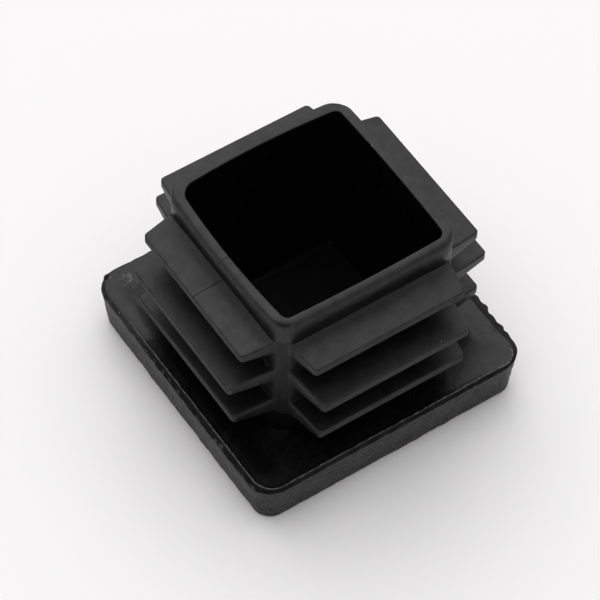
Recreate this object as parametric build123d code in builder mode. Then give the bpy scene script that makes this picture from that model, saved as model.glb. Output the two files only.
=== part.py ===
from build123d import *

import os
from math import radians, tan

# Ribbed end cap for a 25 mm square tube, moulded in one piece.
#
# Millimetres, +Z up. The cap stands on the outer face of its head, whose centre is the origin, and
# the hollow plug that enters the tube points up. The plug carries three tiers of thin fins on each
# of its four sides: the middle tier reaches furthest, the top one least.

os.makedirs("parts", exist_ok=True)

# --- head: the square plate that covers the end of the tube
head_width = 25.0  # at its widest, along the parting line
head_thickness = 4.2
head_corner_radius = 2.1  # at the widest place
head_draft_deg = 7.0  # the sides lean in from the parting line down to the outer face
head_edge_band = 0.35  # the smooth band between the parting line and the inner face
head_inner_edge_radius = 0.3
head_outer_edge_radius = 0.25

# --- plug: the hollow square body that enters the tube
plug_width = 16.4
wall_thickness = 0.95  # at the mouth, and more further down
plug_root_radius = 0.3  # where the plug grows out of the head
rim_band = 0.4  # the straight last stretch of the plug, on which its rim is rounded
rim_outer_radius = 0.3
rim_inner_radius = 0.1

# --- pocket: the open hollow of the plug
pocket_draft_deg = 1.0
pocket_corner_radius = 0.6
pocket_floor_radius = 0.4
pocket_floor_thickness = 1.8  # between the pocket and the head's outer face

# --- the walls bulge outward between the top fins and the mouth
wall_bows = [0.15, 0.35, 0.35, 0.15]  # on the +X, +Y, -X and -Y side

# --- fins: one wedge on each side in each tier, thinning outward
fin_tiers = [  # (rise above the tier below, or above the head, and reach from the plug's wall)
    (3.15, 3.30),
    (3.95, 3.75),
    (3.65, 2.70),
]
rim_rise = 3.15  # of the rim above the top tier
fin_root_thickness = 1.5
fin_tip_thickness = 0.75
fin_end_inset = 0.85  # from the plug's virtual corner to the root's end
fin_end_draft_deg = 8.0  # the ends lean in, so a fin is shorter at its tip
fin_corner_radius = 0.5
fin_tip_edge_radius = 0.12
fin_root_bevel = 0.25
fin_embed = 0.5  # how deep a fin's root starts inside the wall that carries it

# --- sizes that follow
side_count = len(wall_bows)
no_bows = [0.0] * side_count
parting_height = head_thickness - head_edge_band
plug_half = plug_width / 2
plug_corner_radius = pocket_corner_radius + wall_thickness
top_fin_height = head_thickness + sum(rise for rise, reach in fin_tiers)
bulge_start = top_fin_height + fin_root_thickness / 2 + fin_root_bevel
rim_height = top_fin_height + rim_rise
rim_start = rim_height - rim_band
mouth_half = plug_half - wall_thickness
drafted_depth = bulge_start - pocket_floor_thickness
pocket_floor_half = mouth_half - drafted_depth * tan(radians(pocket_draft_deg))


def bowed_square(half, corner_radius, bows):
    """A square with rounded corners, whose +X, +Y, -X and -Y sides bulge outward by `bows`."""
    corners = [(half, -half), (half, half), (-half, half), (-half, -half)]
    with BuildSketch() as square:
        with BuildLine():
            for side, bow in enumerate(bows):
                start = corners[side]
                end = corners[(side + 1) % side_count]
                if bow:
                    SagittaArc(start, end, -bow)
                else:
                    Line(start, end)
        make_face()
        fillet(square.vertices(), corner_radius)
    return square.sketch


def make_fin(middle_height, reach):
    """Make the +X side's fin of one tier: a wedge with drafted ends and rounded tip corners."""
    root_x = plug_half - fin_embed
    tip_x = plug_half + reach
    root_half = fin_root_thickness / 2
    tip_half = fin_tip_thickness / 2
    root_end = plug_half - fin_end_inset
    tip_end = root_end - (tip_x - root_x) * tan(radians(fin_end_draft_deg))
    with BuildPart() as fin:
        with BuildSketch(Plane.XZ) as section:
            with BuildLine():
                Polyline(
                    (root_x, middle_height - root_half),
                    (tip_x, middle_height - tip_half),
                    (tip_x, middle_height + tip_half),
                    (root_x, middle_height + root_half),
                    close=True,
                )
            make_face()
            fillet(section.vertices().group_by(Axis.X)[-1], fin_tip_edge_radius)
        extrude(amount=root_end, both=True)
        with BuildSketch() as plan:
            with BuildLine():
                Polyline(
                    (root_x, -root_end),
                    (tip_x, -tip_end),
                    (tip_x, tip_end),
                    (root_x, root_end),
                    close=True,
                )
            make_face()
            fillet(plan.vertices().group_by(Axis.X)[-1], fin_corner_radius)
        extrude(amount=rim_height, mode=Mode.INTERSECT)
    return fin.part


# --- the pocket's shape, which is cut out of the plug
with BuildPart() as pocket:
    with BuildSketch(Plane.XY.offset(pocket_floor_thickness)):
        add(bowed_square(pocket_floor_half, pocket_corner_radius, no_bows))
    with BuildSketch(Plane.XY.offset(bulge_start)):
        add(bowed_square(mouth_half, pocket_corner_radius, no_bows))
    loft(ruled=True)
    fillet(pocket.faces().sort_by(Axis.Z)[0].edges(), pocket_floor_radius)
    with BuildSketch(Plane.XY.offset(bulge_start)):
        add(bowed_square(mouth_half, pocket_corner_radius, no_bows))
    with BuildSketch(Plane.XY.offset(rim_start)):
        add(bowed_square(mouth_half, pocket_corner_radius, wall_bows))
    loft(ruled=True)
    with BuildSketch(Plane.XY.offset(rim_start)):
        add(bowed_square(mouth_half, pocket_corner_radius, wall_bows))
    extrude(amount=rim_band)

# --- the cap
with BuildPart() as end_cap:
    # the head, drafted from the parting line down, with a rounded band above the line
    with BuildSketch(Plane.XY.offset(parting_height)) as parting:
        RectangleRounded(head_width, head_width, head_corner_radius)
    extrude(amount=-parting_height, taper=head_draft_deg)
    fillet(end_cap.faces().sort_by(Axis.Z)[0].edges(), head_outer_edge_radius)
    with BuildSketch(Plane.XY.offset(parting_height)):
        add(parting.sketch)
    extrude(amount=head_edge_band)
    fillet(end_cap.faces().sort_by(Axis.Z)[-1].edges(), head_inner_edge_radius)

    # the plug, straight up to just above the top fins
    with BuildSketch(Plane.XY.offset(head_thickness)):
        add(bowed_square(plug_half, plug_corner_radius, no_bows))
    extrude(amount=bulge_start - head_thickness)
    inner_face = end_cap.faces().filter_by(Plane.XY).group_by(Axis.Z)[1][0]
    fillet(inner_face.inner_wires()[0].edges(), plug_root_radius)

    # the fins, tier by tier from the head up
    fin_height = head_thickness
    for rise, reach in fin_tiers:
        fin_height += rise
        tier_fin = make_fin(fin_height, reach)
        with PolarLocations(0, side_count):
            add(tier_fin)
        chamfer(end_cap.edges(Select.NEW), fin_root_bevel)

    # the bulging end of the plug, straight in its last stretch
    with BuildSketch(Plane.XY.offset(bulge_start)):
        add(bowed_square(plug_half, plug_corner_radius, no_bows))
    with BuildSketch(Plane.XY.offset(rim_start)):
        add(bowed_square(plug_half, plug_corner_radius, wall_bows))
    loft(ruled=True)
    with BuildSketch(Plane.XY.offset(rim_start)):
        add(bowed_square(plug_half, plug_corner_radius, wall_bows))
    extrude(amount=rim_band)

    # the pocket and the rim around its mouth
    add(pocket.part, mode=Mode.SUBTRACT)
    rim = end_cap.faces().sort_by(Axis.Z)[-1]
    fillet(rim.outer_wire().edges(), rim_outer_radius)
    rim = end_cap.faces().sort_by(Axis.Z)[-1]
    fillet(rim.inner_wires()[0].edges(), rim_inner_radius)

end_cap.part.label = "end_cap"
export_step(end_cap.part, "parts/end_cap.step")
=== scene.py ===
import math

import bpy
import numpy as np
from mathutils import Matrix, Vector, noise


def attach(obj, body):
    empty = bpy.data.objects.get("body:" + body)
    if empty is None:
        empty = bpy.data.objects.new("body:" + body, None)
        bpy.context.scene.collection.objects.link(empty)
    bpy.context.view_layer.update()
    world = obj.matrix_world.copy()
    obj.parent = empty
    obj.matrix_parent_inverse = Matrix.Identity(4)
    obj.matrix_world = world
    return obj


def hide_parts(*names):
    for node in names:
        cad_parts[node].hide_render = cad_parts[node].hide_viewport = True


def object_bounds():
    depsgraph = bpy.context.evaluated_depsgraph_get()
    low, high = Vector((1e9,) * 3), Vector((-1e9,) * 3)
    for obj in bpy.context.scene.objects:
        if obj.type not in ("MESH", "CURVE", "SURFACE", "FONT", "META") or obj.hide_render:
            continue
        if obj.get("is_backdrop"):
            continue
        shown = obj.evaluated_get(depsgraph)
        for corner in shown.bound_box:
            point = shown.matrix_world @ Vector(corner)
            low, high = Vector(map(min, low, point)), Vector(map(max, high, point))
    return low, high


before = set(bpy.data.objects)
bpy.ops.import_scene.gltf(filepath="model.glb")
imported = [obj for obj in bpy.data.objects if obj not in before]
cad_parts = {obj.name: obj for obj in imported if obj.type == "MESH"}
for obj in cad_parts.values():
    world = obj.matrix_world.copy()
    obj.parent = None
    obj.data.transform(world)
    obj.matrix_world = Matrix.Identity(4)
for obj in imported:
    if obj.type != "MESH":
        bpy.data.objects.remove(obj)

# Lengths are in millimetres throughout, and become metres where Blender objects are made.
MM = 0.001
CAD_LOW, CAD_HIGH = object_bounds()

# --- the cap's sizes, as the CAD solid has them
HEAD_HALF = CAD_HIGH.x / MM
RIM_HEIGHT = CAD_HIGH.z / MM
HEAD_THICKNESS = 4.2
HEAD_CORNER = 2.1
HEAD_DRAFT = math.radians(7)
EDGE_BAND = 0.35
OUTER_EDGE_RADIUS = 0.25
PLUG_HALF = 8.2
WALL = 0.95
PLUG_CORNER = 1.55
PLUG_ROOT_RADIUS = 0.06
RIM_BAND = 0.4
RIM_INNER_RADIUS = 0.1
POCKET_CORNER = 0.6
POCKET_DRAFT = math.radians(1)
POCKET_FLOOR = 1.8
POCKET_FLOOR_RADIUS = 0.4
BOWS = (0.15, 0.35, 0.35, 0.15)  # on the +X, +Y, -X and -Y side
FIN_HEIGHTS = (7.35, 11.30, 14.95)
FIN_REACHES = (3.30, 3.75, 2.70)
FIN_EMBED = 0.5
FIN_ROOT_HALF = 0.75
FIN_TIP_HALF = 0.375
FIN_END_INSET = 0.85
FIN_END_DRAFT = math.radians(8)
FIN_ROOT_BEVEL = 0.25

PARTING_HEIGHT = HEAD_THICKNESS - EDGE_BAND
PLUG_FLAT = PLUG_HALF - PLUG_CORNER
MOUTH_HALF = PLUG_HALF - WALL
BULGE_START = FIN_HEIGHTS[-1] + FIN_ROOT_HALF + FIN_ROOT_BEVEL
RIM_START = RIM_HEIGHT - RIM_BAND
ROOT_END = PLUG_HALF - FIN_END_INSET - FIN_EMBED * math.tan(FIN_END_DRAFT)

# --- edges that are softer or sharper than the solid's
FIN_CORNER = 0.34
RIM_ROUND_ACROSS = (0.2, 0.2, 0.45, 0.62)  # on the +X, +Y, -X and -Y side
RIM_ROUND_DOWN = (0.2, 0.2, 0.5, 0.72)
MOUTH_EXTRA = (0.05, 0.0, 0.0, 0.09)  # how much further out than the solid's the mouth's edge is
FIN_TIP_EDGE = 0.08
# how much further each side's fins reach than the solid's, or less far, the lowest first
REACH_EXTRA = ((0.05, 0.15, 0.1), (0.0, 0.0, -0.05), (0.04, 0.0, 0.0), (0.09, 0.07, 0.07))
FIN_END_EDGE = 0.12
FIN_EDGE_SHARE = 0.2  # of half a fin's thickness that its rounded end edges take
FIN_ROOT_RADIUS = 0.1
FIN_BASE_END = ROOT_END + FIN_ROOT_RADIUS
BEVEL_STRAIGHT = 0.8  # of the smooth bevel's width, from its foot to where it rounds over
BEVEL_SLOPE = 1.1  # of that part, against the bevel's whole rise over its width
BAND_ACROSS = (0.62, 0.3, 0.38, 0.28)  # of the smooth bevel round the head
BAND_DOWN = (0.21, 0.14, 0.35, 0.22)  # from the inner face to the bevel's foot
BAND_NARROWING = 0.5  # towards the corner between the +X and the -Y side
NARROWING_START = 21.6  # in X less Y, where that begins
NARROWING_LENGTH = 3
BAND_SHALLOWER = 0.15  # on the -X side towards its +Y end
SHALLOWER_START = 2.5  # in Y, where that begins
SHALLOWER_LENGTH = 3.5

# --- how finely the skin is divided
FLAT_STEPS = 54  # along a side between its corners
FIN_ARC_STEPS = 4  # round a corner under the end of a fin
BARE_ARC_STEPS = 2  # round a corner between two fins' ends
FINE = 3  # the head has this many columns to each of the plug's
FIN_UPS = (-1, FIN_EDGE_SHARE - 1, -0.3, 0.3, 1 - FIN_EDGE_SHARE, 1)  # across a fin's thickness
FIN_ROWS = len(FIN_UPS) - 1
SIDE_ROWS = 28  # up the head's sides
EDGE_STEPS = 5  # round the underside's edge
BEVEL_STOPS = 5  # up the straight part of the smooth bevel
BEVEL_ROUND_STOPS = (0.35, 0.7, 1)  # along the part where it rounds over
INNER_FACE_INSETS = (0.7, 0.85, 1.0)  # of the inner face's fine loops
COARSE_INSET = 1.3  # of its first loop with the plug's own columns
COARSE_CORNER_CUT = 0.9  # how much smaller that loop's corners are than the head's
INNER_FACE_STOPS = 7  # from there to the plug
UNDERSIDE_INSETS = (1, 0.5)  # of the underside's coarse and fine loop
SMALL_ARC_STEPS = 4  # round the plug's root, the mouth's edge and the floor's edge
RIM_STEPS = 10  # over the rim's outer edge
WALL_STOPS = 4  # up the bulging part of the wall
FIN_ROOT_ANGLES = (30, 60, 90)  # round the joint of a fin with the wall
FIN_TIP_ANGLES = (0, 20, 40, 60, 75, 90)  # round its tip's edges
FIN_BODY_STOPS = 6  # from that joint to the tip's rounded corners
SUPPORT = 0.15  # from a fin's root to the next loop of the wall
CORNER_CUT = 1 - math.sqrt(0.5)  # what a rounded edge's middle point lies in from its corner
AT_CORNER = 0.999  # of both fractions' product, for a point on a corner of a fin's section
SHARP_ANGLE = math.radians(50)


def columns(finer):
    """(flat fraction, corner angle) of each column of one side, from its start to the next side."""
    past_flat = np.linspace(0, FIN_BASE_END - FIN_END_EDGE - PLUG_FLAT, FIN_ARC_STEPS)
    past_flat = np.append(past_flat, FIN_BASE_END - PLUG_FLAT)
    under_fin = np.arcsin(past_flat / PLUG_CORNER)
    bare = np.linspace(under_fin[-1], math.pi / 2 - under_fin[-1], BARE_ARC_STEPS + 1)
    coarse_stops = np.concatenate([under_fin, bare[1:-1], math.pi / 2 - under_fin[::-1]])
    places = np.arange((len(coarse_stops) - 1) * finer + 1) / finer
    stops = np.interp(places, np.arange(len(coarse_stops)), coarse_stops)
    flats = np.linspace(-1, 1, FLAT_STEPS * finer + 1)
    arcs = stops[1:-1]
    fractions = np.concatenate([flats, np.ones(len(arcs))])
    angles = np.concatenate([np.zeros(len(flats)), arcs])
    return fractions, angles


COARSE_COLUMNS = columns(1)
FINE_COLUMNS = columns(FINE)
SIDE_COLUMNS = len(COARSE_COLUMNS[0])


def turn(outward, along, side):
    """X and Y of a point given from one side, where side 0 faces +X and they run anticlockwise."""
    cos, sin = ((1, 0), (0, 1), (-1, 0), (0, -1))[side]
    return outward * cos - along * sin, outward * sin + along * cos


def ring(half, corner, height, kind):
    """Points and outward directions of a rounded square loop, starting at the +X side's first flat."""
    fractions, angles = kind
    corners = np.broadcast_to(np.asarray(corner, float), (4,))
    points, normals = [], []
    for side in range(4):
        before, after = corners[side - 1], corners[side]
        start, end = -(half - before), half - after
        along = start + (fractions + 1) / 2 * (end - start)
        outward = half - after + after * np.cos(angles)
        along = along + after * np.sin(angles)
        x, y = turn(outward, along, side)
        points.append(np.stack([x, y, np.broadcast_to(height, x.shape)], 1))
        nx, ny = turn(np.cos(angles), np.sin(angles), side)
        normals.append(np.stack([nx, ny, np.zeros_like(nx)], 1))
    return np.concatenate(points), np.concatenate(normals)


class Skin:
    """The cap's surface, gathered loop by loop from the middle of its underside to the pocket's floor."""

    def __init__(self):
        self.points = []
        self.count = 0
        self.faces = []
        self.materials = []

    def add(self, points):
        indices = np.arange(self.count, self.count + len(points))
        self.points.append(points)
        self.count += len(points)
        return indices

    def face(self, corners, material):
        self.faces.append([int(c) for c in corners])
        self.materials.append(material)

    def bridge(self, first, second, material, closed=True, skipped=()):
        """Quads between two loops or runs with as many points each."""
        count = len(first)
        materials = np.broadcast_to(material, count)
        for i in range(count if closed else count - 1):
            if i not in skipped:
                j = (i + 1) % count
                self.face((first[i], first[j], second[j], second[i]), int(materials[i]))

    def coarsen(self, fine, coarse, material):
        """A flat row of faces from a fine loop to a coarse one."""
        for i in range(len(coarse)):
            run = [fine[(FINE * i + k) % len(fine)] for k in range(FINE + 1)]
            self.face(run + [coarse[(i + 1) % len(coarse)], coarse[i]], material)

    def refine(self, coarse, fine, material):
        """A flat row of faces from a coarse loop to a fine one."""
        for i in range(len(coarse)):
            run = [fine[(FINE * i + k) % len(fine)] for k in range(FINE, -1, -1)]
            self.face([coarse[i], coarse[(i + 1) % len(coarse)]] + run, material)


# --- small irregularities of the moulding
GRAIN = 0.035  # height of the head sides' grain
GRAIN_SIZE = 0.45
WAVE = 0.05  # slow waviness of the head's sides
WAVE_SIZE = 1.7
DROP_POWER = 4  # how late up the side the ups and downs of the sides' upper boundary set in
LIP_WIDTH = 0.1  # of the fine raised line round the inner face
LIP_HEIGHTS = (0.0, 0.0, 0.02, 0.02)
LIP_PROFILE = ((0.25, 0.7), (0.5, 1), (0.75, 0.7), (1, 0))  # shares of its width and height
LIP_BREAKS = 0.6  # how much its height varies, and the middle of that height
LIP_BREAK_SIZE = 0.5
LIP_WANDER = 0.04
LIP_WANDER_SIZE = 0.9
FACING = 0.5  # the least part of a direction towards a side for a point to count as on it
LIP_HIGHLIGHT_TO = 7.5  # in Y, where the painted highlight on that line on the -X side ends
RAGGED = (0.03, 0.03, 0.06, 0.05)  # up and down, of the grained surface's upper boundary
RAGGED_SIZE = 0.4
GRAIN_REACH = (0.0, 0.0, 1.1, 0.5)  # how far the grain creeps up the bevel, against its width
GRAIN_REACH_SIZE = 0.45
FLASH = (0.36, 0.08, 0.03, 0.02)  # how far the parting line's flash stands out on each side
FLASH_SIZE = 1.0
FLASH_STEEPNESS = 2  # of the scallops' sides
FLASH_FADING = 3  # how fast the flash shrinks as the bevel narrows
FLASH_DROP = 0.36  # how far it hangs, for each millimetre that it stands out
BURR_PLACE = (-11.2, 12.3)  # of a crumb of flash on a corner of the head
BURR_SIZE = 0.3
BURR_REACH = 0.15
BURR_CORE = 0.6  # the part of it that takes the dark, low-shine material of the painted shade
SWELLS = (0.18, 0.0, -0.3, 0.0)  # how far the inner face rises halfway to the plug, or dips
PINCH_DEPTH = 0.18  # of the crease round the rim's corner between the -X and -Y side
PINCH_NARROW = 10  # how closely it keeps to the corner
PINCH_STEPS = (5, 6)  # the loops over the rim's edge that it presses in
MOUTH_CORNER_EXTRA = (-0.15, 0.5, -0.15, 0)  # on the corner after the +X, +Y, -X and -Y side
RIM_TOP_SHARE = 0.8  # of the mouth's extras, on the loop of the rim's flat top
SEED_STEPS = (17.3, 5.1, 9.7)  # between the places where two seeds read the noise
# what each irregularity is seeded with
GRAIN_SEED, WAVE_SEED, FLASH_SEED, WANDER_SEED, LIP_SEED, RAGGED_SEED, REACH_SEED = 1, 3, 4, 5, 6, 7, 8

# the cap's materials, in the order of its slots
SATIN, GRAIN_AND_GLINTS, GLOSSY, PAINTED_SHADE, WORN, EDGE, LIP_HIGHLIGHT, SHADED = range(8)


def noise_at(points, size, seed):
    """Smooth noise from about -1 to 1 at each point, with features of that size."""
    shift = Vector([seed * step for step in SEED_STEPS])
    return np.array([noise.noise(Vector(p) / size + shift) for p in points])


def by_side(normals, values):
    """A value at each point that goes smoothly from one side's to the next round a corner."""
    facing = np.stack([normals[:, 0], normals[:, 1], -normals[:, 0], -normals[:, 1]], 1)
    return np.clip(facing, 0, 1) ** 2 @ np.array(values)


def arc_steps(radius, start, end, steps):
    """Offsets across and up from an arc's centre, at equal steps from one angle in degrees to another."""
    angles = np.radians(np.linspace(start, end, steps + 1))
    return list(zip(radius * np.cos(angles), radius * np.sin(angles)))


def plug_ring(half, corner, height):
    """A loop of the plug or the pocket, bowed outward where the wall bulges towards the rim."""
    points, normals = ring(half, corner, height, COARSE_COLUMNS)
    share = np.clip((height - BULGE_START) / (RIM_START - BULGE_START), 0, 1)
    for axis, across, ahead, behind in ((0, 1, BOWS[0], BOWS[2]), (1, 0, BOWS[1], BOWS[3])):
        bow = np.where(normals[:, axis] > 0, ahead, behind) * normals[:, axis]
        points[:, axis] += share * bow * (1 - (points[:, across] / half) ** 2)
    return points, normals


def head_side_loops():
    """(inset, height) of the loops from the underside's edge to the parting line."""
    tangent = OUTER_EDGE_RADIUS * math.tan((math.pi / 2 - HEAD_DRAFT) / 2)
    centre_inset = PARTING_HEIGHT * math.tan(HEAD_DRAFT) + tangent
    edge = arc_steps(OUTER_EDGE_RADIUS, -90, -math.degrees(HEAD_DRAFT), EDGE_STEPS)
    loops = [(centre_inset - across, OUTER_EDGE_RADIUS + up) for across, up in edge]
    heights = np.linspace(loops[-1][1], PARTING_HEIGHT, SIDE_ROWS + 1)[1:]
    return loops + [((PARTING_HEIGHT - height) * math.tan(HEAD_DRAFT), height) for height in heights]


def band_profile():
    """(share of the way in, share of the drop) of the bevel's loops, from its foot to its top."""
    for share in np.linspace(0, BEVEL_STRAIGHT, BEVEL_STOPS):
        yield share, 1 - share * BEVEL_SLOPE
    for past in BEVEL_ROUND_STOPS:
        share = BEVEL_STRAIGHT + past * (1 - BEVEL_STRAIGHT)
        yield share, (1 - BEVEL_STRAIGHT * BEVEL_SLOPE) * (1 - past) ** 2


def add_head(skin):
    """The head, from the middle of its underside to the loop where the plug begins."""
    loops = head_side_loops()
    flat_half = HEAD_HALF - loops[0][0]
    coarse_inset, fine_inset = UNDERSIDE_INSETS
    middle = skin.add(ring(flat_half - coarse_inset, HEAD_CORNER / 2, 0, COARSE_COLUMNS)[0])
    skin.face(middle[::-1], GRAIN_AND_GLINTS)
    previous = skin.add(ring(flat_half - fine_inset, HEAD_CORNER / 2, 0, FINE_COLUMNS)[0])
    skin.refine(middle, previous, GRAIN_AND_GLINTS)

    def grow(points, material):
        current = skin.add(points)
        skin.bridge(previous, current, material)
        return current

    # the grained sides, which end at a ragged line at or above the solid's parting line
    outline, normals = ring(HEAD_HALF, HEAD_CORNER, PARTING_HEIGHT, FINE_COLUMNS)
    to_corner = (outline[:, 0] - outline[:, 1] - NARROWING_START) / NARROWING_LENGTH
    narrow = 1 - BAND_NARROWING * np.clip(to_corner, 0, 1)
    shallow = BAND_SHALLOWER * np.clip((outline[:, 1] - SHALLOWER_START) / SHALLOWER_LENGTH, 0, 1)
    scallops = np.minimum(FLASH_STEEPNESS * np.abs(noise_at(outline, FLASH_SIZE, FLASH_SEED)), 1)
    flash = by_side(normals, FLASH) * narrow**FLASH_FADING * scallops
    burr = np.exp(-(((outline[:, :2] - BURR_PLACE) / BURR_SIZE) ** 2).sum(1))
    flash = flash + BURR_REACH * burr
    ragged = by_side(normals, RAGGED) * noise_at(outline, RAGGED_SIZE, RAGGED_SEED)
    rise = by_side(normals, BAND_DOWN) * narrow + FLASH_DROP * flash - ragged
    rise -= shallow * np.clip(-normals[:, 0], 0, 1) ** 2
    grain_reach = by_side(normals, GRAIN_REACH) * noise_at(outline, GRAIN_REACH_SIZE, REACH_SEED)
    texture_drop = rise - EDGE_BAND
    for inset, height in loops:
        points, _ = ring(HEAD_HALF - inset, HEAD_CORNER - inset, height, FINE_COLUMNS)
        relief = GRAIN * noise_at(points, GRAIN_SIZE, GRAIN_SEED)
        relief = relief + WAVE * noise_at(points, WAVE_SIZE, WAVE_SEED)
        points = points + normals * relief[:, None]
        points[:, 2] -= texture_drop * (height / PARTING_HEIGHT) ** DROP_POWER
        previous = grow(points, GRAIN_AND_GLINTS)

    # the smooth bevel, with the parting line's flash on it
    wander = LIP_WANDER * noise_at(outline, LIP_WANDER_SIZE, WANDER_SEED)
    across = by_side(normals, BAND_ACROSS) * narrow + wander
    for share, drop in band_profile():
        inset = across * share - flash * (1 - share) ** 2
        points = outline - normals * inset[:, None]
        points[:, 2] = HEAD_THICKNESS - rise * drop
        materials = np.where(share < grain_reach, GRAIN_AND_GLINTS, GLOSSY)
        # the burr's core takes the dark, low-shine material of the painted shade
        previous = grow(points, np.where(burr > BURR_CORE, PAINTED_SHADE, materials))

    # the fine raised line at the bevel's inner side, with a pale, mottled painted highlight on the -X and
    # -Y side
    breaks = LIP_BREAKS + LIP_BREAKS * noise_at(outline, LIP_BREAK_SIZE, LIP_SEED)
    lip = by_side(normals, LIP_HEIGHTS) * breaks
    near_minus_x = (normals[:, 0] < -FACING) & (outline[:, 1] < LIP_HIGHLIGHT_TO)
    lip_materials = np.where((normals[:, 1] < -FACING) | near_minus_x, LIP_HIGHLIGHT, GLOSSY)
    for offset, share in LIP_PROFILE:
        points, _ = ring(HEAD_HALF, HEAD_CORNER, HEAD_THICKNESS, FINE_COLUMNS)
        points = points - normals * (across + offset * LIP_WIDTH)[:, None]
        points[:, 2] += share * lip
        previous = grow(points, lip_materials)
    for inset in INNER_FACE_INSETS:
        points, _ = ring(HEAD_HALF - inset, HEAD_CORNER - inset, HEAD_THICKNESS, FINE_COLUMNS)
        previous = grow(points, GLOSSY)

    # the rest of the inner face, which rises on one side and dips on another
    outer_half, outer_corner = HEAD_HALF - COARSE_INSET, HEAD_CORNER - COARSE_CORNER_CUT
    root_half = PLUG_HALF + PLUG_ROOT_RADIUS
    root_corner = root_half - PLUG_FLAT
    for share in np.linspace(0, 1, INNER_FACE_STOPS):
        half = outer_half + share * (root_half - outer_half)
        corner = outer_corner + share * (root_corner - outer_corner)
        points, normals = ring(half, corner, HEAD_THICKNESS, COARSE_COLUMNS)
        points[:, 2] += by_side(normals, SWELLS) * math.sin(math.pi * share)
        current = skin.add(points)
        (skin.bridge if share else skin.coarsen)(previous, current, GLOSSY)
        previous = current
    return previous


def root_flare(outward):
    """How much wider a fin is at its root for the rounded joint with the wall."""
    short = max(FIN_ROOT_RADIUS - outward, 0)
    return FIN_ROOT_RADIUS - math.sqrt(FIN_ROOT_RADIUS**2 - short**2)


def tip_rounding(outward, reach, radius):
    """How much narrower a fin is near its tip for an edge rounded to that radius."""
    past = max(outward - (reach - radius), 0)
    return radius - math.sqrt(max(radius**2 - past**2, 0))


def fin_reach(side, tier):
    return FIN_REACHES[tier] + REACH_EXTRA[side][tier]


def fin_half_thickness(outward, reach):
    share = (reach - outward) / (reach + FIN_EMBED)
    wedge = FIN_TIP_HALF + (FIN_ROOT_HALF - FIN_TIP_HALF) * share
    return wedge + root_flare(outward) - tip_rounding(outward, reach, FIN_TIP_EDGE)


def fin_half_length(outward, reach):
    length = ROOT_END - outward * math.tan(FIN_END_DRAFT)
    return length + root_flare(outward) - tip_rounding(outward, reach, FIN_CORNER)


def fin_levels(reach):
    """Distances from the wall at which a fin's skin has a loop."""
    root = [FIN_ROOT_RADIUS * (1 - math.cos(math.radians(a))) for a in FIN_ROOT_ANGLES]
    body = list(np.linspace(FIN_ROOT_RADIUS, reach - FIN_CORNER, FIN_BODY_STOPS)[1:])
    edge = [reach - FIN_TIP_EDGE * (1 - math.sin(math.radians(a))) for a in FIN_TIP_ANGLES]
    return root + body + [reach - (FIN_CORNER + FIN_TIP_EDGE) / 2] + edge


def fin_point(across, up, outward, side, tier):
    """A fin's point, from its fractions along and across the fin and its distance from the wall."""
    middle, reach = FIN_HEIGHTS[tier], fin_reach(side, tier)
    length, thickness = fin_half_length(outward, reach), fin_half_thickness(outward, reach)
    cut = CORNER_CUT * (np.abs(across * up) > AT_CORNER) * min(outward / FIN_END_EDGE, 1)
    along = across * (length - cut * FIN_END_EDGE)
    past_flat = np.clip(np.abs(along) - PLUG_FLAT, 0, PLUG_CORNER)
    wall_drop = PLUG_CORNER - np.sqrt(PLUG_CORNER**2 - past_flat**2)
    straight = min(outward / FIN_ROOT_RADIUS, 1)
    distance = PLUG_HALF + outward - wall_drop * (1 - straight)
    height = middle + up * thickness * (1 - cut * FIN_EDGE_SHARE)
    x, y = turn(distance, along, side)
    return np.stack([x, y, height], -1)


def fin_columns(side):
    """The columns of the wall that one side's fins stand on."""
    start = side * SIDE_COLUMNS - FIN_ARC_STEPS
    count = FLAT_STEPS + 2 * FIN_ARC_STEPS
    return [(start + i) % (4 * SIDE_COLUMNS) for i in range(count + 1)]


def add_fin(skin, rows, side, tier):
    """One fin, grown from the opening that the wall's faces leave between its loops `rows`."""
    run = fin_columns(side)
    last = len(run) - 1
    wall, _ = ring(PLUG_HALF, PLUG_CORNER, 0, COARSE_COLUMNS)
    along = (wall[run, 1], -wall[run, 0], -wall[run, 1], wall[run, 0])[side]
    across = along / FIN_BASE_END
    loop = [(across[i], -1, rows[0][run[i]]) for i in range(last + 1)]
    loop += [(across[last], FIN_UPS[k], rows[k][run[last]]) for k in range(1, FIN_ROWS)]
    loop += [(across[i], 1, rows[-1][run[i]]) for i in range(last, -1, -1)]
    loop += [(across[0], FIN_UPS[k], rows[k][run[0]]) for k in range(FIN_ROWS - 1, 0, -1)]
    loop_across = np.array([entry[0] for entry in loop])
    loop_up = np.array([entry[1] for entry in loop])
    previous = np.array([entry[2] for entry in loop])
    reach = fin_reach(side, tier)
    for outward in fin_levels(reach):
        current = skin.add(fin_point(loop_across, loop_up, outward, side, tier))
        skin.bridge(previous, current, EDGE if outward > reach - FIN_TIP_EDGE else SATIN)
        previous = current

    grid = [previous[: last + 1]]
    for k in range(1, FIN_ROWS):
        inner = skin.add(fin_point(across[1:-1], np.full(last - 1, FIN_UPS[k]), reach, side, tier))
        grid.append(np.concatenate([[previous[-k]], inner, [previous[last + k]]]))
    grid.append(previous[last + FIN_ROWS : 2 * last + FIN_ROWS + 1][::-1])
    for lower, upper in zip(grid, grid[1:]):
        skin.bridge(lower, upper, EDGE, closed=False)


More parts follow.
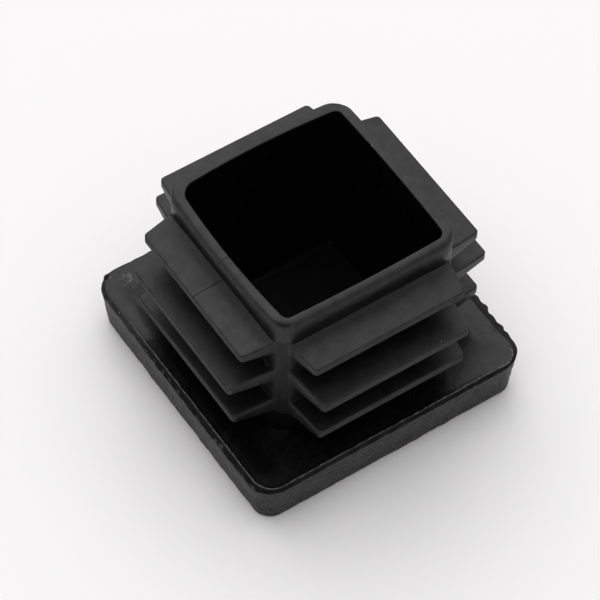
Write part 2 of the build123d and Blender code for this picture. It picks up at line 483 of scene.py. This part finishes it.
def add_plug(skin, previous):
    """The plug's outside with its fins, from the head to the start of the rim's rounded edge."""
    def grow(half, height, skipped=()):
        current = skin.add(plug_ring(half, half - PLUG_FLAT, height)[0])
        # painted shade: below the bulge the wall takes the shaded copy of the satin finish, and below the
        # lowest fin a darker, low-shine copy
        material = SATIN if height > BULGE_START else SHADED
        if height < FIN_HEIGHTS[0] - FIN_ROOT_HALF:
            material = PAINTED_SHADE
        skin.bridge(previous, current, material, skipped=skipped)
        return current

    for across, up in arc_steps(PLUG_ROOT_RADIUS, -90, -180, SMALL_ARC_STEPS)[1:]:
        root_height = HEAD_THICKNESS + PLUG_ROOT_RADIUS
        previous = grow(PLUG_HALF + PLUG_ROOT_RADIUS + across, root_height + up)

    under_fins = {column for side in range(4) for column in fin_columns(side)[:-1]}
    for tier, middle in enumerate(FIN_HEIGHTS):
        half = fin_half_thickness(0, FIN_REACHES[tier])
        previous = grow(PLUG_HALF, middle - half - SUPPORT)
        rows = []
        for up in FIN_UPS:
            previous = grow(PLUG_HALF, middle + up * half, under_fins if rows else ())
            rows.append(previous)
        for side in range(4):
            add_fin(skin, rows, side, tier)
        previous = grow(PLUG_HALF, middle + half + SUPPORT)
    wall_end = RIM_HEIGHT - max(RIM_ROUND_DOWN)
    for height in np.linspace(middle + half + SUPPORT, wall_end, WALL_STOPS)[1:-1]:
        previous = grow(PLUG_HALF, height)
    return previous


def add_rim_and_pocket(skin, previous):
    """The rim's edge and the pocket, down to the middle of its floor."""
    outline, normals = plug_ring(PLUG_HALF, PLUG_CORNER, RIM_HEIGHT)
    across = by_side(normals, RIM_ROUND_ACROSS)
    down = by_side(normals, RIM_ROUND_DOWN)
    pinch = PINCH_DEPTH * np.clip(-normals[:, :2].sum(1) / math.sqrt(2), 0, 1) ** PINCH_NARROW
    for step, (x, y) in enumerate(arc_steps(1, 0, 90, RIM_STEPS)):
        points = outline - normals * (across * (1 - x))[:, None]
        points[:, 2] -= down * (1 - y) + (pinch if step in PINCH_STEPS else 0)
        current = skin.add(points)
        skin.bridge(previous, current, WORN)
        previous = current

    def grow(half, height, corner, extra_share=1, material=SATIN):
        corners = corner + np.multiply(MOUTH_CORNER_EXTRA, extra_share)
        points, normals = plug_ring(half, corners, height)
        further = extra_share * max(0, (height - BULGE_START) / (RIM_HEIGHT - BULGE_START))
        points = points + normals * (further * by_side(normals, MOUTH_EXTRA))[:, None]
        current = skin.add(points)
        skin.bridge(previous, current, material)
        return current

    inner_half = MOUTH_HALF + RIM_INNER_RADIUS
    top_half = inner_half + SUPPORT / 2
    previous = grow(top_half, RIM_HEIGHT, top_half - PLUG_FLAT, RIM_TOP_SHARE)
    for across, up in arc_steps(RIM_INNER_RADIUS, 90, 180, SMALL_ARC_STEPS):
        half = inner_half + across
        previous = grow(half, RIM_HEIGHT - RIM_INNER_RADIUS + up, half - PLUG_FLAT)
    # painted shade: the pocket's walls and floor take the darker, low-shine copy of the plastic
    for height in np.linspace(RIM_START, BULGE_START, WALL_STOPS):
        previous = grow(MOUTH_HALF, height, POCKET_CORNER, material=PAINTED_SHADE)
    floor_half = MOUTH_HALF - (BULGE_START - POCKET_FLOOR) * math.tan(POCKET_DRAFT)
    half = (MOUTH_HALF + floor_half) / 2
    previous = grow(half, (BULGE_START + POCKET_FLOOR) / 2, POCKET_CORNER, material=PAINTED_SHADE)
    for across, up in arc_steps(POCKET_FLOOR_RADIUS, 0, -90, SMALL_ARC_STEPS):
        inset = POCKET_FLOOR_RADIUS - across
        extra_share = 1 - inset / POCKET_FLOOR_RADIUS
        height = POCKET_FLOOR + POCKET_FLOOR_RADIUS + up
        previous = grow(floor_half - inset, height, POCKET_CORNER - inset, extra_share, PAINTED_SHADE)
    skin.face(previous, PAINTED_SHADE)


def make_cap():
    skin = Skin()
    loop = add_head(skin)
    loop = add_plug(skin, loop)
    add_rim_and_pocket(skin, loop)
    mesh = bpy.data.meshes.new("cap")
    mesh.from_pydata((np.concatenate(skin.points) * MM).tolist(), [], skin.faces)
    mesh.polygons.foreach_set("material_index", skin.materials)
    mesh.shade_smooth()
    mesh.set_sharp_from_angle(angle=SHARP_ANGLE)
    cap = bpy.data.objects.new("cap", mesh)
    bpy.context.scene.collection.objects.link(cap)
    return cap


# --- materials
BLACK = (0.0041, 0.00395, 0.0041)
PLASTIC_IOR = 1.5
MOTTLING_SPREAD = (0.38, 0.62)  # the noise values where the darkest and the lightest tint are reached
ROUGHNESS_RANGE = 0.05  # how much rougher and smoother a finish gets from place to place
ROUGHNESS_NOISE = (0.9, 5)  # size and detail
SCUFF_GLINT_PLACE = (-9.9, 11.0, HEAD_THICKNESS)  # a patch of small pale marks on the inner face's corner, the glints of a scuffed patch painted in as pale colour
SCUFF_GLINT_REACH = 2.4
SCUFF_GLINT_PATCHES = (0.5, 2)  # size and detail of the noise that leaves gaps in it
SCUFF_GLINT_PATCH_RANGE = (0.6, 1.2)
SCUFF_GLINT_MARKS = (0.06, 3)  # size and detail of the marks
SCUFF_GLINT_THRESHOLD = 0.41
SCUFF_GLINT_SHARE = 0.6  # of SPECK_AND_GLINT_COLOUR in a mark, a painted glint
WELD_Y = -0.17  # where the plastic met itself on the -X side, a fine line on the rim and top fin
WELD_WIDTH = 0.08
WELD_DEPTH = 0.02
WELD_ROUGHNESS = 0.4  # added along the line
WELD_FOOT = FIN_HEIGHTS[-1]
SPECK_SPACING = 2.6
SPECK_RADIUS = 0.055
SPECK_AND_GLINT_COLOUR = (0.2, 0.19, 0.2, 1)


class Nodes:
    """Short ways to add the nodes of one material."""

    def __init__(self, material):
        material.use_nodes = True
        self.nodes = material.node_tree.nodes
        self.links = material.node_tree.links
        self.shader = self.nodes["Principled BSDF"]
        self.place = self.nodes.new("ShaderNodeTexCoord").outputs["Object"]

    def math(self, operation, *values):
        node = self.nodes.new("ShaderNodeMath")
        node.operation = operation
        for socket, value in zip(node.inputs, values):
            if isinstance(value, (int, float)):
                socket.default_value = value
            else:
                self.links.new(value, socket)
        return node.outputs["Value"]

    def noise(self, size, detail, sharpness=0.5):
        texture = self.nodes.new("ShaderNodeTexNoise")
        texture.inputs["Scale"].default_value = 1 / (size * MM)
        texture.inputs["Detail"].default_value = detail
        texture.inputs["Roughness"].default_value = sharpness
        self.links.new(self.place, texture.inputs["Vector"])
        return texture.outputs["Fac"]

    def spread(self, value, low, high, start=0.3, end=0.7):
        node = self.nodes.new("ShaderNodeMapRange")
        node.inputs["From Min"].default_value = start
        node.inputs["From Max"].default_value = end
        node.inputs["To Min"].default_value = low
        node.inputs["To Max"].default_value = high
        self.links.new(value, node.inputs["Value"])
        return node.outputs["Result"]

    def mix(self, share, first, second):
        node = self.nodes.new("ShaderNodeMix")
        node.data_type = "RGBA"
        self.links.new(share, node.inputs["Factor"])
        for socket, colour in ((node.inputs[6], first), (node.inputs[7], second)):
            if isinstance(colour, tuple):
                socket.default_value = colour
            else:
                self.links.new(colour, socket)
        return node.outputs[2]

    def specks(self):
        cells = self.nodes.new("ShaderNodeTexVoronoi")
        cells.inputs["Scale"].default_value = 1 / (SPECK_SPACING * MM)
        self.links.new(self.place, cells.inputs["Vector"])
        return self.math("LESS_THAN", cells.outputs["Distance"], SPECK_RADIUS / SPECK_SPACING)

    # pale marks in a patch at one corner, painted glints of scuffing
    def scuff_glints(self):
        away = self.nodes.new("ShaderNodeVectorMath")
        away.operation = "DISTANCE"
        away.inputs[1].default_value = Vector(SCUFF_GLINT_PLACE) * MM
        self.links.new(self.place, away.inputs[0])
        near = self.spread(away.outputs["Value"], 1, 0, 0, SCUFF_GLINT_REACH * MM)
        gaps = self.spread(self.noise(*SCUFF_GLINT_PATCHES), *SCUFF_GLINT_PATCH_RANGE)
        patchy = self.math("MULTIPLY", near, gaps)
        marks = self.math("MULTIPLY", self.noise(*SCUFF_GLINT_MARKS), patchy)
        return self.math("GREATER_THAN", marks, SCUFF_GLINT_THRESHOLD)

    def weld(self):
        axes = self.nodes.new("ShaderNodeSeparateXYZ")
        self.links.new(self.place, axes.inputs["Vector"])
        near = self.math("COMPARE", axes.outputs["Y"], WELD_Y * MM, WELD_WIDTH / 2 * MM)
        left = self.math("LESS_THAN", axes.outputs["X"], 0.0)
        high = self.math("GREATER_THAN", axes.outputs["Z"], WELD_FOOT * MM)
        return self.math("MULTIPLY", self.math("MULTIPLY", near, left), high)


def plastic(name, roughness, bumps, shine=0.4, tints=(0.2, 2.6), mottling=(1.2, 6, 0.7)):
    """Black moulded plastic.

    `bumps` are (size, height, detail) of its surface noises; `shine` is its specular level;
    `tints` are the darkest and the lightest share of BLACK, mixed by a noise of the size, detail
    and sharpness `mottling`.
    """
    material = bpy.data.materials.new(name)
    nodes = Nodes(material)
    shader = nodes.shader
    shader.inputs["IOR"].default_value = PLASTIC_IOR
    shader.inputs["Specular IOR Level"].default_value = shine
    dark, light = (tuple(channel * share for channel in BLACK) + (1,) for share in tints)
    tint = nodes.mix(nodes.spread(nodes.noise(*mottling), 0, 1, *MOTTLING_SPREAD), dark, light)
    # pale specks, and the painted glints of the scuff patch, in the specks' pale colour
    specks = nodes.specks()
    scuff_glint_marks = nodes.math("MULTIPLY", nodes.scuff_glints(), SCUFF_GLINT_SHARE)
    tint = nodes.mix(nodes.math("MAXIMUM", specks, scuff_glint_marks), tint, SPECK_AND_GLINT_COLOUR)
    nodes.links.new(tint, shader.inputs["Base Color"])
    smoothest, roughest = roughness - ROUGHNESS_RANGE, roughness + ROUGHNESS_RANGE
    rough = nodes.spread(nodes.noise(*ROUGHNESS_NOISE), smoothest, roughest)
    weld = nodes.weld()
    rough = nodes.math("ADD", rough, nodes.math("MULTIPLY", weld, WELD_ROUGHNESS))
    nodes.links.new(rough, shader.inputs["Roughness"])
    normal = None
    reliefs = [(nodes.noise(size, detail), height) for size, height, detail in bumps]
    for relief, height in reliefs + [(weld, -WELD_DEPTH)]:
        bump = nodes.nodes.new("ShaderNodeBump")
        bump.inputs["Distance"].default_value = height * MM
        nodes.links.new(relief, bump.inputs["Height"])
        if normal:
            nodes.links.new(normal, bump.inputs["Normal"])
        normal = bump.outputs["Normal"]
    nodes.links.new(normal, shader.inputs["Normal"])
    return material


def cap_materials():
    """The cap's materials in the order of SATIN, GRAIN_AND_GLINTS and so on."""
    grain = [(0.13, 0.055, 2), (0.07, 0.015, 2)]
    moulded = [(0.6, 0.006, 3), (0.12, 0.003, 2)]
    ripples = [(0.8, 0.02, 3), (0.2, 0.006, 2)]
    yield plastic("satin_plastic", 0.45, moulded)
    # real grain in the bumps, with a fine pale speckle in the colour that is painted for the glints on
    # the grain
    yield plastic("grain_and_glint_plastic", 0.5, grain, 0.19, (0.1, 16), (0.11, 2, 0.5))
    yield plastic("glossy_plastic", 0.31, ripples, 0.32, (0.1, 1.2), (0.4, 4, 0.7))
    # painted shade: a darker, low-shine copy for the pocket, the wall below the lowest fin and the burr's
    # core
    yield plastic("painted_shade_plastic", 0.55, moulded, 0.1, (0.1, 0.8))
    yield plastic("worn_plastic", 0.62, moulded, 0.56)
    yield plastic("edge_plastic", 0.75, moulded, 0.58)
    # painted highlight: a pale, mottled tint for the lip line's broken bright line on the -X and -Y side
    yield plastic("lip_highlight_plastic", 0.5, moulded, 0.4, (1, 32), (0.3, 3, 0.6))
    yield plastic("shaded_plastic", 0.5, moulded, 0.3)


# --- the camera
CAMERA_AIM = Vector((0, 0, 7.5)) * MM
CAMERA_DISTANCE = 271.09 * MM
CAMERA_TURN, CAMERA_RISE, CAMERA_ROLL = (math.radians(angle) for angle in (-35.296, 53.794, 1.952))
CAMERA_LENS = 206.53
CAMERA_SHIFT = (-0.01489, -0.01059)


def make_camera():
    camera = bpy.data.objects.new("camera", bpy.data.cameras.new("camera"))
    bpy.context.scene.collection.objects.link(camera)
    camera.data.lens = CAMERA_LENS
    camera.data.shift_x, camera.data.shift_y = CAMERA_SHIFT
    level = math.cos(CAMERA_RISE)
    outward = Vector((
        level * math.sin(CAMERA_TURN), -level * math.cos(CAMERA_TURN), math.sin(CAMERA_RISE)
    ))
    turned = outward.to_track_quat("Z", "Y").to_matrix()
    rolled = turned @ Matrix.Rotation(CAMERA_ROLL, 3, "Z")
    camera.matrix_world = Matrix.Translation(CAMERA_AIM + outward * CAMERA_DISTANCE) @ rolled.to_4x4()
    bpy.context.scene.camera = camera


# --- the floor and the light
FLOOR_HALF = 2
FLOOR_COLOUR = (0.975, 0.985, 0.965, 1)
SKY_DARK = 0.12
LIGHT_COLOUR = (0.997, 0.97, 1, 1)
HORIZON = 0.9  # and everything below it, which the floor hides
# how the light falls away from a direction: towards it, the angles where it is full and gone,
# and its strength
GLOWS = (
    (Vector((0.1, 0.2, 0.97)), 26, 64, 1.38),
    (Vector((0.2, 0.8, 0.65)), 18, 38, 0.9),
    (Vector((0, 0, -1)), 91, 97, HORIZON),
)


def make_floor():
    corners = [(-FLOOR_HALF, -FLOOR_HALF, 0), (FLOOR_HALF, -FLOOR_HALF, 0),
               (FLOOR_HALF, FLOOR_HALF, 0), (-FLOOR_HALF, FLOOR_HALF, 0)]
    mesh = bpy.data.meshes.new("floor")
    mesh.from_pydata(corners, [], [(0, 1, 2, 3)])
    floor = bpy.data.objects.new("floor", mesh)
    bpy.context.scene.collection.objects.link(floor)
    material = bpy.data.materials.new("floor_white")
    material.use_nodes = True
    shader = material.node_tree.nodes["Principled BSDF"]
    shader.inputs["Base Color"].default_value = FLOOR_COLOUR
    shader.inputs["Roughness"].default_value = 1
    shader.inputs["Specular IOR Level"].default_value = 0
    mesh.materials.append(material)
    floor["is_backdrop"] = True


def make_world():
    """Soft surroundings, brighter up and behind than in front, and bright at the horizon."""
    world = bpy.data.worlds.new("studio")
    bpy.context.scene.world = world
    world.use_nodes = True
    nodes, links = world.node_tree.nodes, world.node_tree.links
    light = nodes["Background"]
    place = nodes.new("ShaderNodeTexCoord")
    total = None
    for towards, full, gone, strength in GLOWS:
        facing = nodes.new("ShaderNodeVectorMath")
        facing.operation = "DOT_PRODUCT"
        facing.inputs[1].default_value = towards.normalized()
        links.new(place.outputs["Generated"], facing.inputs[0])
        glow = nodes.new("ShaderNodeMapRange")
        glow.interpolation_type = "SMOOTHSTEP"
        glow.inputs["From Min"].default_value = math.cos(math.radians(gone))
        glow.inputs["From Max"].default_value = math.cos(math.radians(full))
        glow.inputs["To Max"].default_value = strength
        links.new(facing.outputs["Value"], glow.inputs["Value"])
        add = nodes.new("ShaderNodeMath")
        add.inputs[0].default_value = SKY_DARK
        if total:
            links.new(total, add.inputs[0])
        links.new(glow.outputs["Result"], add.inputs[1])
        total = add.outputs["Value"]
    links.new(total, light.inputs["Strength"])
    light.inputs["Color"].default_value = LIGHT_COLOUR


make_camera()
make_floor()
make_world()
bpy.context.scene.view_settings.view_transform = "Standard"

cap = make_cap()
for material in cap_materials():
    cap.data.materials.append(material)
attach(cap, "root")
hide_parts("end_cap")

sizes = {"cad": [list(corner) for corner in (CAD_LOW, CAD_HIGH)]}
sizes["visual"] = [list(corner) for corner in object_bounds()]
